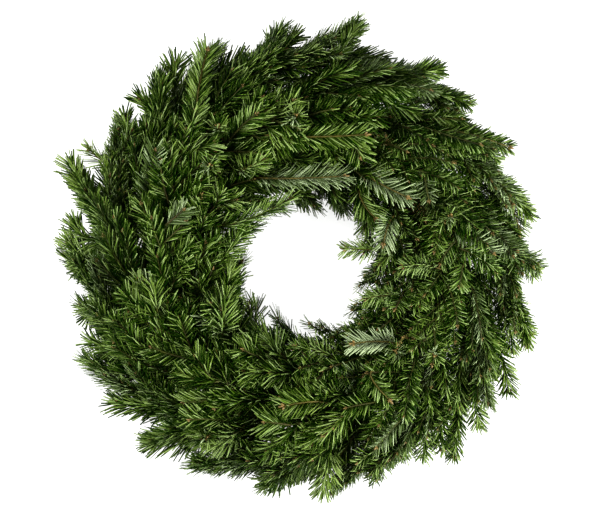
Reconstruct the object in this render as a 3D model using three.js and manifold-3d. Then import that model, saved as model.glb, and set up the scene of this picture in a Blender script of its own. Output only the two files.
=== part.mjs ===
// A fresh fir wreath lying on its back: a straw ring with a flat underside, one long binding wire wound
// round it in thirty-three turns, and fifty-five cut fir sprigs bound on like roof shingles.
// Millimetres, +Z up. The origin is on the resting surface, under the middle of the wreath.
import * as THREE from "three";
import { mergeVertices } from "three/addons/utils/BufferGeometryUtils.js";
import Module from "manifold-3d";

const wasm = await Module();
wasm.setup();

// ---- Driving dimensions -------------------------------------------------------------------------------
const RING_OUTER_DIAMETER = 350;
const RING_THICKNESS = 60;
const RING_RADIUS = (RING_OUTER_DIAMETER - RING_THICKNESS) / 2; // from the middle to the ring's core line
const CORE_RADIUS = RING_THICKNESS / 2; // of the round straw section
const CORE_HEIGHT = 22; // core line above the flat underside
const RING_SEGMENTS = 48;
const RING_ARC_SEGMENTS = 18;

const GAP = 0.3; // clearance between neighbours that touch on the real wreath
const STEM_RADIUS = 2;
const STEM_CENTRE = CORE_RADIUS + GAP + STEM_RADIUS; // distance of a bound stem from the core line

const WIRE_RADIUS = 0.5;
const WIRE_SIDES = 5;
const WIRE_OVER_STEM = 3; // wire centre above the stem centre, where the taut wire bends over it
const TURNS_PER_ROW = 3;
const ROWS = 11;
const TURNS = TURNS_PER_ROW * ROWS;
const ROW_PITCH = 360 / ROWS; // degrees
const TURN_PITCH = 360 / TURNS;

// How far a sprig's middle surface has risen off the ring after one radian of travel: least in the hole,
// most on the outside, where the tips stand away.
const RISE_MEAN = 58;
const RISE_SWING = 18;
const CHART_RADIUS = 58; // distance from the core line at which a sprig's flat width is true

// A lane is a line of sprigs round the ring. section: angle round the straw section, 0 outwards and 90 up.
// turn: which of the wire's turns in a row ties it. tips: one [bearing, section angle, extra lift] a row,
// with bearings clockwise from +Y, where the end of the leading shoot lies. shoots: the side shoots, each
// [share of the leading shoot's length where it starts, side, length], the same on every sprig of a lane.
// stem: length of bare stem under the wire. width, thickness: half of the leading shoot's, with needles.
const LANES = {
  outer: {
    section: 18,
    turn: 0,
    stem: 30,
    width: 22,
    thickness: 12,
    tips: [
      [48, 4, 4], [79, 8, 8], [113, 6, 18], [145, 4, 20], [176, 6, 8], [211, 6, 4],
      [249, 8, 10], [275, 8, 18], [311, 4, 6], [339, 8, 8], [376, 12, 24],
    ],
    shoots: [[0.34, 1, 62], [0.4, -1, 26], [0.6, 1, 46], [0.68, -1, 24]],
  },
  front_outer: {
    section: 55,
    turn: -2,
    stem: 30,
    width: 22,
    thickness: 11,
    tips: [
      [61, 22, 24], [93, 20, 26], [130, 24, 28], [165, 26, 14], [191, 22, 16], [223, 16, 30],
      [262, 20, 14], [293, 14, 38], [324, 22, 26], [357, 16, 22], [398, 24, 20],
    ],
    shoots: [[0.32, -1, 56], [0.38, 1, 52], [0.62, -1, 40], [0.66, 1, 38]],
  },
  crown: {
    section: 90,
    turn: -1,
    stem: 28,
    width: 22,
    thickness: 9,
    tips: [
      [62, 84, 0], [97, 74, 0], [128, 86, 0], [160, 76, 0], [192, 70, 0], [227, 84, 0],
      [258, 78, 0], [292, 88, 0], [322, 76, 0], [357, 88, 0], [386, 92, 0],
    ],
    shoots: [[0.32, 1, 48], [0.36, -1, 52], [0.6, 1, 36], [0.66, -1, 38]],
  },
  front_inner: {
    section: 125,
    turn: -3,
    stem: 24,
    width: 20,
    thickness: 8,
    tips: [
      [88, 128, 0], [116, 120, 0], [150, 134, 0], [184, 124, 0], [216, 118, 0], [248, 128, 0],
      [282, 122, 0], [312, 118, 0], [346, 130, 0], [386, 140, 2], [419, 132, 0],
    ],
    shoots: [[0.34, -1, 40], [0.4, 1, 38], [0.62, -1, 30], [0.68, 1, 28]],
  },
  inner: {
    section: 163,
    turn: -2,
    stem: 20,
    width: 17,
    thickness: 7,
    tips: [
      [79, 160, 2], [109, 156, 6], [135, 166, 4], [171, 158, 6], [201, 166, 3], [234, 162, 4],
      [267, 166, 3], [299, 160, 5], [333, 164, 5], [365, 166, 6], [397, 160, 5],
    ],
    shoots: [[0.36, -1, 26], [0.42, 1, 20], [0.64, -1, 22], [0.7, 1, 16]],
  },
};
const FIRST_TIE = 0.8; // bearing of the wire's first crossing of the back
const WIRE_ARC = [-25, 205]; // section angles between which the wire travels round the ring
const TIE_TO_RISE = 1.15; // degrees from the tying turn to where the stem starts to rise

// ---- Shared geometry ----------------------------------------------------------------------------------
const radians = THREE.MathUtils.degToRad;

/** A point by bearing round the ring and section angle, in radians, and distance from the core line. */
function ringPoint(bearing, section, distance) {
  const out = RING_RADIUS + distance * Math.cos(section);
  return new THREE.Vector3(
    out * Math.sin(bearing),
    out * Math.cos(bearing),
    CORE_HEIGHT + distance * Math.sin(section),
  );
}

/** The solid of a closed geometry, its vertices merged and its collapsed triangles left out. */
function solidOf(geometry) {
  geometry.deleteAttribute("normal");
  geometry.deleteAttribute("uv");
  const merged = mergeVertices(geometry, 1e-3);
  const corners = merged.index.array;
  const kept = [];
  for (let i = 0; i < corners.length; i += 3) {
    const [a, b, c] = [corners[i], corners[i + 1], corners[i + 2]];
    if (a !== b && b !== c && c !== a) kept.push(a, b, c);
  }
  return new wasm.Manifold(
    new wasm.Mesh({
      numProp: 3,
      vertProperties: new Float32Array(merged.attributes.position.array),
      triVerts: new Uint32Array(kept),
    }),
  );
}

/** A solid's surface as a three.js geometry, each vertex moved by the given function. */
function geometryOf(solid, move = (v) => v) {
  const { vertProperties, triVerts, numProp, numVert } = solid.getMesh();
  const positions = new Float32Array(numVert * 3);
  for (let i = 0; i < numVert; i++) {
    const [x, y, z] = vertProperties.subarray(i * numProp, i * numProp + 3);
    move(new THREE.Vector3(x, y, z)).toArray(positions, i * 3);
  }
  const geometry = new THREE.BufferGeometry();
  geometry.setAttribute("position", new THREE.BufferAttribute(positions, 3));
  geometry.setIndex(new THREE.BufferAttribute(new Uint32Array(triVerts), 1));
  geometry.computeVertexNormals();
  return geometry;
}

// ---- Materials ----------------------------------------------------------------------------------------
const straw = new THREE.MeshStandardMaterial({ color: 0xb99a5c, roughness: 0.9 });
const wireGreen = new THREE.MeshStandardMaterial({ color: 0x24402a, roughness: 0.45, metalness: 0.6 });
const firGreen = new THREE.MeshStandardMaterial({ color: 0x2c5a22, roughness: 0.5 });

// ---- Straw ring: a D-shaped section, with a shallow nick in the back under each pass of the wire --------
const NICK = { width: 1.7, depth: 1.65, length: 50 };

function strawRing() {
  const cutAngle = Math.asin(CORE_HEIGHT / CORE_RADIUS);
  const profile = [];
  for (let i = 0; i <= RING_ARC_SEGMENTS; i++) {
    const angle = -cutAngle + ((Math.PI + 2 * cutAngle) * i) / RING_ARC_SEGMENTS;
    const height = i === 0 || i === RING_ARC_SEGMENTS ? 0 : CORE_HEIGHT + CORE_RADIUS * Math.sin(angle);
    profile.push(new THREE.Vector2(RING_RADIUS + CORE_RADIUS * Math.cos(angle), height));
  }
  profile.push(profile[0].clone());
  const turned = new THREE.LatheGeometry(profile, RING_SEGMENTS);
  turned.rotateX(Math.PI / 2);
  let ring = solidOf(turned);
  for (let turn = 0; turn < TURNS; turn++) {
    const nick = new THREE.BoxGeometry(NICK.width, NICK.length, 2 * NICK.depth);
    nick.translate(0, RING_RADIUS, 0);
    nick.rotateZ(-radians(FIRST_TIE - TURN_PITCH * turn));
    ring = ring.subtract(solidOf(nick));
  }
  const mesh = new THREE.Mesh(geometryOf(ring), straw);
  mesh.name = "straw_ring";
  return mesh;
}

// ---- Binding wire: taut over the stems, bent at the straw's lower corners, sunk in the nicks ------------
const WIRE_BACK_HEIGHT = 0.8;
const WIRE_BACK_HALF = 23.5; // half the length of one straight pass across the back
const WIRE_END = 8; // where the two wire ends stop, either side of the core line
const WIRE_FLANK = { section: 22, distance: 31.6 }; // where the wire leaves the straw's flank

class WirePath extends THREE.Curve {
  constructor(corners) {
    super();
    this.corners = corners;
  }
  getPoint(t, target = new THREE.Vector3()) {
    const along = THREE.MathUtils.clamp(t, 0, 1) * (this.corners.length - 1);
    const i = Math.min(Math.floor(along), this.corners.length - 2);
    return target.lerpVectors(this.corners[i], this.corners[i + 1], along - i);
  }
  getPointAt(u, target) {
    return this.getPoint(u, target);
  }
  getTangentAt(u, target) {
    return this.getTangent(u, target);
  }
}

/** A point of the wire's pass across the back, at an offset outwards from the core line. */
function backPoint(bearing, offset) {
  const out = RING_RADIUS + offset;
  return new THREE.Vector3(out * Math.sin(bearing), out * Math.cos(bearing), WIRE_BACK_HEIGHT);
}

function bindingWire() {
  const corners = [backPoint(radians(FIRST_TIE), WIRE_END)];
  const ties = Object.values(LANES).map((lane) => lane.section);
  for (let turn = 0; turn < TURNS; turn++) {
    const start = FIRST_TIE - TURN_PITCH * turn;
    const bearingAt = (section) =>
      radians(start - (TURN_PITCH * (section - WIRE_ARC[0])) / (WIRE_ARC[1] - WIRE_ARC[0]));
    corners.push(backPoint(radians(start), WIRE_BACK_HALF));
    corners.push(ringPoint(radians(start), radians(-WIRE_FLANK.section), WIRE_FLANK.distance));
    for (const section of ties)
      corners.push(ringPoint(bearingAt(section), radians(section), STEM_CENTRE + WIRE_OVER_STEM));
    const end = radians(start - TURN_PITCH);
    corners.push(ringPoint(end, radians(180 + WIRE_FLANK.section), WIRE_FLANK.distance));
    corners.push(backPoint(end, -WIRE_BACK_HALF));
  }
  corners.push(backPoint(radians(FIRST_TIE), -WIRE_END));
  const section = new THREE.Shape(
    Array.from({ length: WIRE_SIDES }, (_, i) => {
      const angle = (2 * Math.PI * i) / WIRE_SIDES;
      return new THREE.Vector2(WIRE_RADIUS * Math.cos(angle), WIRE_RADIUS * Math.sin(angle));
    }),
  );
  const geometry = new THREE.ExtrudeGeometry(section, {
    steps: corners.length - 1,
    extrudePath: new WirePath(corners),
  });
  const mesh = new THREE.Mesh(geometryOf(solidOf(geometry)), wireGreen);
  mesh.name = "binding_wire";
  return mesh;
}

// ---- Fir sprigs -----------------------------------------------------------------------------------------
// A sprig is laid out flat, along +Y from where its stem starts to rise, with its width along X and its
// thickness along Z, and is then bent round the ring.
const SIDES = 6;
const SHOOT_THINNING = 0.62; // a side shoot's thickness as a share of the leading shoot's
const SHOOT_WIDTH = 18; // half, with needles
const SHOOT_ANGLE = 42; // degrees between a side shoot and the leading shoot
const BEND_POWER = 1.6; // how late along its length a sprig swings to its tip
const LIFT_START = 0.6; // share of its length after which a sprig lifts away
const POINT_SHARE = 1.04; // where the needles past the tip bud end, as a share of the length

/** A spindle along +Y from [along, half width, half thickness] stations, the first and last on its axis. */
function spindle(stations) {
  const profile = stations.map(([along, width]) => new THREE.Vector2(width, along));
  const geometry = new THREE.LatheGeometry(profile, SIDES);
  const position = geometry.attributes.position;
  for (let i = 0; i < position.count; i++) {
    const [, width, thickness] = stations[i % stations.length];
    if (width > 0) position.setZ(i, (position.getZ(i) * thickness) / width);
  }
  return geometry;
}

function leadingShoot(length, { stem, width, thickness }) {
  return spindle([
    [-stem, 0, 0],
    [-stem, STEM_RADIUS, STEM_RADIUS],
    [0, STEM_RADIUS, STEM_RADIUS],
    [0.22 * length, STEM_RADIUS, STEM_RADIUS],
    [0.36 * length, 0.8 * width, 0.7 * thickness],
    [0.62 * length, width, thickness],
    [0.9 * length, 0.72 * width, 0.8 * thickness],
    [POINT_SHARE * length, 0, 0],
  ]);
}

function sideShoot(length, thickness) {
  return spindle([
    [0, 0, 0],
    [0.35 * length, 0.9 * SHOOT_WIDTH, thickness],
    [0.75 * length, 0.8 * SHOOT_WIDTH, 0.75 * thickness],
    [length, 0, 0],
  ]);
}

function sprig(name, lane, base, [tipBearing, tipSection, lift]) {
  const laneRadius = RING_RADIUS + CHART_RADIUS * Math.cos(radians(lane.section));
  const length = radians(tipBearing - base) * laneRadius;
  const swing = radians(tipSection - lane.section) * CHART_RADIUS;
  let spray = solidOf(leadingShoot(length, lane));
  for (const [share, side, reach] of lane.shoots) {
    const shoot = sideShoot(reach, SHOOT_THINNING * lane.thickness);
    shoot.rotateZ(side * -radians(SHOOT_ANGLE));
    shoot.translate(0, share * length, 0);
    spray = spray.add(solidOf(shoot));
  }
  const bend = ({ x, y, z }) => {
    const travel = Math.max(y, 0);
    const section = radians(lane.section) + (x + swing * (travel / length) ** BEND_POWER) / CHART_RADIUS;
    const rise = (RISE_MEAN + RISE_SWING * Math.cos(section)) * (travel / laneRadius);
    const tipLift = lift * Math.max(0, (travel / length - LIFT_START) / (1 - LIFT_START)) ** 2;
    return ringPoint(y / laneRadius, section, STEM_CENTRE + rise + tipLift + z);
  };
  const mesh = new THREE.Mesh(geometryOf(spray, bend), firGreen);
  mesh.name = name;
  mesh.rotation.z = -radians(base);
  return mesh;
}

function sprigs() {
  const group = new THREE.Group();
  for (const [laneName, lane] of Object.entries(LANES)) {
    const alongArc = (lane.section - WIRE_ARC[0]) / (WIRE_ARC[1] - WIRE_ARC[0]);
    const tie = FIRST_TIE - TURN_PITCH * (lane.turn + alongArc);
    lane.tips.forEach((tip, row) => {
      const base = tie + TIE_TO_RISE + ROW_PITCH * row;
      const name = `${laneName}_sprig_${String(row + 1).padStart(2, "0")}`;
      group.add(sprig(name, lane, base, tip));
    });
  }
  return group;
}

// ---- Assembly -------------------------------------------------------------------------------------------
const wreath = new THREE.Group();
wreath.add(strawRing(), bindingWire(), sprigs());
const middle = new THREE.Box3().setFromObject(wreath, true).getCenter(new THREE.Vector3());
wreath.position.set(-middle.x, -middle.y, 0);

export default wreath;
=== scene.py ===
# %% [markdown]
# # A fresh fir wreath, lying on its back
#
# A florist binds this wreath from cut fir twigs. Each twig is laid on a straw ring with its tip pointing
# clockwise, and a long green wire is wound over its stem. The next twig covers the wire, as one roof shingle
# covers the nail of the last. Nearly all that shows is needles, tens of thousands of them, so this lesson is
# about growing many small shapes from a few templates, along paths that follow the construction model.

import math
import random

import bmesh
import bpy
from mathutils import Matrix, Vector


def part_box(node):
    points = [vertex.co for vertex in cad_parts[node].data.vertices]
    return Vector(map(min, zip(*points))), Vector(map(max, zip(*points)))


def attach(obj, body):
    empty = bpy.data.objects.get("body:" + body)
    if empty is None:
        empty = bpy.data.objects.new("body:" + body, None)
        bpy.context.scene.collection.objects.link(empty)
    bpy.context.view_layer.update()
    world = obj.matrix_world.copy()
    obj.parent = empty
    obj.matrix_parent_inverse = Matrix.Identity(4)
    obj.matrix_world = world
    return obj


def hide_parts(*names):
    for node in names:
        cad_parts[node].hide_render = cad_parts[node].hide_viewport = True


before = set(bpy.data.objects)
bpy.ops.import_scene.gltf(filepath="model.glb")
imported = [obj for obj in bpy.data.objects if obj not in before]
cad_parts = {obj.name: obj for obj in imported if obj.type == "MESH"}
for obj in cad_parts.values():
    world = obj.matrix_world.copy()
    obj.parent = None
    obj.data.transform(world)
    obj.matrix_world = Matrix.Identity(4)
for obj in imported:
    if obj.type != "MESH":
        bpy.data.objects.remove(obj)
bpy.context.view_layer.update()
MM = 0.001

straw_low, straw_high = (Vector(corner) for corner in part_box("straw_ring"))
CORE_RADIUS = 30 * MM
RING_CENTRE = ((straw_low + straw_high) / 2).to_2d()
RING_RADIUS = (straw_high.x - straw_low.x) / 2 - CORE_RADIUS
CORE_HEIGHT = straw_high.z - CORE_RADIUS
print("ring centre", tuple(RING_CENTRE), "core line radius", RING_RADIUS, "height", CORE_HEIGHT)

# %% [markdown]
# ## Camera, floor and light
#
# The wreath was photographed square to its face, so the camera looks straight down from far enough away to
# keep the outline flat. Two broad soft lights stand left and right, the right one lower and stronger. They
# put the grey sheen on the flanks and leave the middle of the face and the hole's edge dark.

# %% Camera
CAMERA_DISTANCE = 1.8
VIEW_WIDTH = 0.630
SENSOR_WIDTH = 36  # mm
FACE_HEIGHT = 0.060
AIM_OFFSET = Vector((-4.2, 5.25)) * MM  # of the picture's middle from the ring's

camera_data = bpy.data.cameras.new("camera")
camera_data.sensor_width = SENSOR_WIDTH
camera_data.lens = camera_data.sensor_width * CAMERA_DISTANCE / VIEW_WIDTH
camera = bpy.data.objects.new("camera", camera_data)
camera.location = (*(RING_CENTRE + AIM_OFFSET), FACE_HEIGHT + CAMERA_DISTANCE)
bpy.context.collection.objects.link(camera)
bpy.context.scene.camera = camera
print("lens", round(camera_data.lens, 1), "mm")

# %% Lights and world
def soft_light(name, place, size, power):
    """A square soft light that faces the wreath's middle."""
    data = bpy.data.lights.new(name, "AREA")
    data.size = size
    data.energy = power
    light = bpy.data.objects.new(name, data)
    light.location = place
    light.rotation_euler = (-Vector(place)).to_track_quat("-Z", "Y").to_euler()
    bpy.context.collection.objects.link(light)


soft_light("left_softbox", (-1.35, 0.5, 1.15), 0.9, 32)
soft_light("right_softbox", (1.25, -0.75, 0.85), 0.9, 43)
soft_light("overhead_softbox", (0.1, 0.3, 2.2), 0.6, 11.2)

world = bpy.data.worlds.new("studio")
world.use_nodes = True
world.node_tree.nodes["Background"].inputs["Color"].default_value = (0.95, 1.0, 0.9, 1)
world.node_tree.nodes["Background"].inputs["Strength"].default_value = 0.055
bpy.context.scene.world = world
bpy.context.scene.view_settings.view_transform = "Standard"
bpy.context.scene.view_settings.look = "High Contrast"
print(len(bpy.data.lights), "lights,", sum(data.energy for data in bpy.data.lights), "W in all")

# %% [markdown]
# ## Materials
#
# A fir needle is dark and waxy above and has two chalky bands below. Its colour changes from needle to
# needle, from shoot to shoot and across the wreath, so three sources are mixed: a tone stored on each
# needle, a slow patchwork over the object, and fine streaks along the needle's own length. The tone also
# carries painted shade on needles that point down or lie deep, and painted highlights on a share made
# brighter; on the brighter needles the streaks are painted sheen. Bark, buds, straw, thread and wire need
# the patchwork or the streaks too, so both are node groups. Bark is green or brown in slow patches, and
# golden on the shoots that show their stems.

# %% Node helpers
def socket(tree, in_out, kind, name, value=None):
    """One named input or output of a node group."""
    made = tree.interface.new_socket(name=name, in_out=in_out, socket_type=kind)
    if value is not None:
        made.default_value = value


def node(tree, kind, settings=None, **inputs):
    """A node with its settings and inputs. An input is a value, or another node's output."""
    made = tree.nodes.new(kind)
    for name, value in (settings or {}).items():
        setattr(made, name, value)
    for name, value in inputs.items():
        target = made.inputs[int(name[1:]) if name[0] == "_" else name.replace("_", " ")]
        if isinstance(value, bpy.types.NodeSocket):
            tree.links.new(value, target)
        else:
            target.default_value = value
    return made


def blend(tree, factor, first, second):
    """The colour between two, by a factor."""
    return node(tree, "ShaderNodeMix", {"data_type": "RGBA"}, _0=factor, _6=first, _7=second).outputs[2]


def remap(tree, value, low, high, to_low=0.0, to_high=1.0):
    """A value moved smoothly from one range to another."""
    ranges = {"_1": low, "_2": high, "_3": to_low, "_4": to_high}
    smooth = {"interpolation_type": "SMOOTHSTEP"}
    return node(tree, "ShaderNodeMapRange", smooth, _0=value, **ranges).outputs[0]


def calculate(tree, operation, *values):
    """The result of one operation on values or other nodes' outputs."""
    inputs = {f"_{place}": value for place, value in enumerate(values)}
    return node(tree, "ShaderNodeMath", {"operation": operation}, **inputs).outputs[0]


def strand_place(tree):
    """How far across and along its strand a point is, from the strand's own UV map."""
    uv = node(tree, "ShaderNodeUVMap", {"uv_map": "strand"}).outputs[0]
    return node(tree, "ShaderNodeSeparateXYZ", {}, Vector=uv).outputs


def strand_tone(tree):
    """The tone that a strand carries."""
    return node(tree, "ShaderNodeAttribute", {"attribute_name": "tone"}).outputs["Fac"]


# %% Shared effects
NOISE_RANGE = (0.3, 0.7)  # of a noise's values, stretched to 0 to 1
SEED_STEP = 57.0  # far enough apart for unlike streaks


def make_patches():
    """Slow soft patches over the object, 0 to 1."""
    tree = bpy.data.node_groups.new("soft_patches", "ShaderNodeTree")
    socket(tree, "INPUT", "NodeSocketFloat", "Patches per metre", 12.0)
    socket(tree, "OUTPUT", "NodeSocketFloat", "Patch")
    given = node(tree, "NodeGroupInput")
    place = node(tree, "ShaderNodeTexCoord").outputs["Object"]
    noise = node(tree, "ShaderNodeTexNoise", {}, Vector=place, Scale=given.outputs[0], Detail=3.0)
    node(tree, "NodeGroupOutput", {}, _0=remap(tree, noise.outputs["Fac"], *NOISE_RANGE))
    return tree


def make_streaks():
    """Fine streaks along a strand, different on each one by its seed."""
    tree = bpy.data.node_groups.new("long_streaks", "ShaderNodeTree")
    socket(tree, "INPUT", "NodeSocketFloat", "Streaks across", 7.0)
    socket(tree, "INPUT", "NodeSocketFloat", "Seed", 0.0)
    socket(tree, "OUTPUT", "NodeSocketFloat", "Streak")
    given = node(tree, "NodeGroupInput")
    across, along, unused = strand_place(tree)
    streaks = calculate(tree, "MULTIPLY", across, given.outputs[0])
    seed = calculate(tree, "MULTIPLY", given.outputs[1], SEED_STEP)
    place = node(tree, "ShaderNodeCombineXYZ", {}, X=streaks, Y=along, Z=seed)
    noise = node(tree, "ShaderNodeTexNoise", {}, Vector=place.outputs[0], Scale=1.0, Detail=2.0)
    node(tree, "NodeGroupOutput", {}, _0=remap(tree, noise.outputs["Fac"], *NOISE_RANGE))
    return tree


PATCHES = make_patches()
STREAKS = make_streaks()
print("shared effects:", [group.name for group in bpy.data.node_groups])


# %% Helpers that place them in a material
def use_group(tree, group, **inputs):
    """A shared effect placed in a material, giving its first output."""
    return node(tree, "ShaderNodeGroup", {"node_tree": group}, **inputs).outputs[0]


def new_material(name, roughness):
    """A material, its tree and its principled shader, with the roughness set."""
    material = bpy.data.materials.new(name)
    material.use_nodes = True
    shader = material.node_tree.nodes["Principled BSDF"]
    shader.inputs["Roughness"].default_value = roughness
    return material, material.node_tree, shader


def patchy_material(name, roughness, per_metre, dark, light):
    """A material with soft patches of two colours, and its shader."""
    material, tree, shader = new_material(name, roughness)
    patch = use_group(tree, PATCHES, Patches_per_metre=per_metre)
    tree.links.new(blend(tree, patch, dark, light), shader.inputs["Base Color"])
    return material, shader


# %% Needle finish
UPPER_ROUGHNESS = 0.3
UNDER_ROUGHNESS = 0.6
WARM_BASE = 0.10  # share of a needle's length
UNDERSIDE_U = 2  # added to u on a needle's underside
RIB_HALF = (0.05, 0.11)  # u from the rib to where a chalky band begins and is full


def make_needle_finish():
    material, tree, shader = new_material("fir_needle", UPPER_ROUGHNESS)
    shader.inputs["Specular IOR Level"].default_value = 0.38
    shader.inputs["Specular Tint"].default_value = (0.78, 1.0, 0.26, 1)
    tone = strand_tone(tree)
    across, along, unused = strand_place(tree)
    streak = use_group(tree, STREAKS, Streaks_across=5.0, Seed=tone)
    patch = use_group(tree, PATCHES, Patches_per_metre=14.0)

    old = blend(tree, patch, (0.0025, 0.015, 0.0002, 1), (0.005, 0.020, 0.0002, 1))
    fresh = blend(tree, patch, (0.082, 0.182, 0.002, 1), (0.125, 0.216, 0.002, 1))
    # painted sheen: where the streaks fall, the brighter needles are painted pale, up to whitish green, for
    # the glint of the lights along them
    shine = remap(tree, tone, 0.1, 0.8)
    painted_sheen = blend(tree, shine, (0.006, 0.034, 0.0002, 1), (0.260, 0.330, 0.118, 1))
    painted_sheen = blend(tree, remap(tree, tone, 0.6, 1.0), painted_sheen, (0.41, 0.48, 0.275, 1))
    upper = blend(tree, streak, blend(tree, tone, old, fresh), painted_sheen)
    upper = blend(tree, remap(tree, along, WARM_BASE, 0.0), upper, (0.07, 0.09, 0.008, 1))

    under = calculate(tree, "GREATER_THAN", across, UNDERSIDE_U - 0.5)
    off_rib = calculate(tree, "PINGPONG", calculate(tree, "FRACT", across), 0.25)
    band = remap(tree, off_rib, *RIB_HALF)
    chalk = blend(tree, tone, (0.10, 0.14, 0.055, 1), (0.55, 0.64, 0.42, 1))
    below = blend(tree, band, (0.04, 0.08, 0.01, 1), chalk)
    tree.links.new(blend(tree, under, upper, below), shader.inputs["Base Color"])
    roughness = remap(tree, under, 0.0, 1.0, UPPER_ROUGHNESS, UNDER_ROUGHNESS)
    tree.links.new(roughness, shader.inputs["Roughness"])
    return material


# %% Bark and bud finishes
BARK_GRAIN = 0.2 * MM  # depth of the bump


def make_bark_finish():
    material, tree, shader = new_material("fir_bark", 0.7)
    patch = use_group(tree, PATCHES, Patches_per_metre=160.0)
    slow = use_group(tree, PATCHES, Patches_per_metre=18.0)
    young = blend(tree, patch, (0.036, 0.050, 0.004, 1), (0.075, 0.088, 0.010, 1))
    brown = blend(tree, patch, (0.020, 0.020, 0.004, 1), (0.060, 0.045, 0.012, 1))
    ripe = blend(tree, patch, (0.064, 0.056, 0.009, 1), (0.125, 0.105, 0.020, 1))
    colour = blend(tree, strand_tone(tree), blend(tree, slow, young, brown), ripe)
    tree.links.new(colour, shader.inputs["Base Color"])
    bump = node(tree, "ShaderNodeBump", {}, Height=patch, Strength=0.4, Distance=BARK_GRAIN)
    tree.links.new(bump.outputs[0], shader.inputs["Normal"])
    return material


def make_bud_finish():
    brown = ((0.10, 0.072, 0.020, 1), (0.28, 0.20, 0.075, 1))
    return patchy_material("bud_scales", 0.45, 420.0, *brown)[0]


# %% Straw, thread, wire and floor finishes
def make_straw_finish():
    material, tree, shader = new_material("straw_stalks", 0.5)
    tone = strand_tone(tree)
    streak = use_group(tree, STREAKS, Streaks_across=6.0, Seed=tone)
    dark = blend(tree, tone, (0.22, 0.13, 0.045, 1), (0.42, 0.29, 0.11, 1))
    light = blend(tree, tone, (0.40, 0.27, 0.10, 1), (0.66, 0.50, 0.24, 1))
    tree.links.new(blend(tree, streak, dark, light), shader.inputs["Base Color"])
    return material


def make_packed_straw_finish():
    # painted shade: the packed core is darker than the stalks, for the shade in the gaps between them
    shaded = ((0.10, 0.06, 0.022, 1), (0.24, 0.16, 0.06, 1))
    return patchy_material("packed_straw", 0.85, 90.0, *shaded)[0]


def make_thread_finish():
    pale = ((0.34, 0.30, 0.20, 1), (0.50, 0.45, 0.31, 1))
    return patchy_material("straw_thread", 0.6, 80.0, *pale)[0]


def make_wire_finish():
    green = ((0.010, 0.045, 0.016, 1), (0.022, 0.085, 0.03, 1))
    material, shader = patchy_material("green_wire", 0.38, 60.0, *green)
    shader.inputs["Coat Weight"].default_value = 0.6
    return material


def make_floor_finish():
    material, unused, shader = new_material("pale_floor", 0.7)
    shader.inputs["Base Color"].default_value = (0.35, 0.35, 0.35, 1)
    shader.inputs["Emission Color"].default_value = (1, 1, 1, 1)
    shader.inputs["Emission Strength"].default_value = 0.6
    return material


NEEDLE_FINISH = make_needle_finish()
BARK_FINISH = make_bark_finish()
BUD_FINISH = make_bud_finish()
FIR_FINISHES = (NEEDLE_FINISH, BARK_FINISH, BUD_FINISH)
NEEDLE, BARK, BUD = range(3)
print(len(bpy.data.materials), "materials,", len(bpy.data.node_groups), "shared effects")

# %% [markdown]
# ## Floor
#
# The wreath rests on its flat back, so the floor is a plain sheet at that level. It is far wider than the
# wreath, which keeps the sheet's own edge out of the views from the side.

# %% Floor
FLOOR_HALF = 9.0  # m
floor_mesh = bpy.data.meshes.new("floor")
sheet = bmesh.new()
bmesh.ops.create_grid(sheet, x_segments=1, y_segments=1, size=FLOOR_HALF)
sheet.to_mesh(floor_mesh)
sheet.free()
floor_mesh.materials.append(make_floor_finish())
floor = bpy.data.objects.new("floor", floor_mesh)
bpy.context.collection.objects.link(floor)
print("floor", 2 * FLOOR_HALF, "m wide")

# %% [markdown]
# ## One needle
#
# A needle is a strap with rounded margins, flat below, narrow at the base and blunt at the tip. It could be a
# plane with a picture on it, but a plane catches the light on its whole face or not at all, and has no chalky
# underside. A three-sided cone cut into two spans and shaded smooth gives a long highlight in eight faces,
# few enough to repeat by the ten thousand. The templates run from old and dark to fresh and bright, each
# with its own bow, and the same range also serves for painted shade and painted highlights.

# %% Needle templates
NEEDLE_TONES = 12
NEEDLE_STATIONS = (0, 0.42, 1)  # shares of the length
NEEDLE_HALF_WIDTHS = (0.5, 1.0, 0.7)  # shares of the full half width at the stations
RIDGE = 0.5  # height of the upper edge, in half widths
RIGHT_EDGE, LEFT_EDGE, RIDGE_EDGE = range(3)
DROOPS = (-1.6, 0.4, -0.6, -2.4)  # how far the tips curve down and sideways, in half widths
SWERVES = (0.0, 0.8, -0.8)
EDGE_U = {RIGHT_EDGE: 0.99, LEFT_EDGE: 0.01, RIDGE_EDGE: 0.5}  # u of the strand's own map


def strand_layers(shape):
    """The layers that every strand carries: its own UV map and a tone."""
    return shape.loops.layers.uv.new("strand"), shape.verts.layers.float.new("tone")


def as_mesh(shape, name):
    """A bmesh made a mesh, with its faces outward. Its normals are stale once corners have moved."""
    shape.normal_update()
    bmesh.ops.recalc_face_normals(shape, faces=shape.faces)
    mesh = bpy.data.meshes.new(name)
    shape.to_mesh(mesh)
    shape.free()
    return mesh


def end_to_end_edges(shape):
    """The edges that run from one end to the other of a cone one unit long."""
    return [edge for edge in shape.edges if abs(edge.verts[0].co.z - edge.verts[1].co.z) > 0.5]


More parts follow.
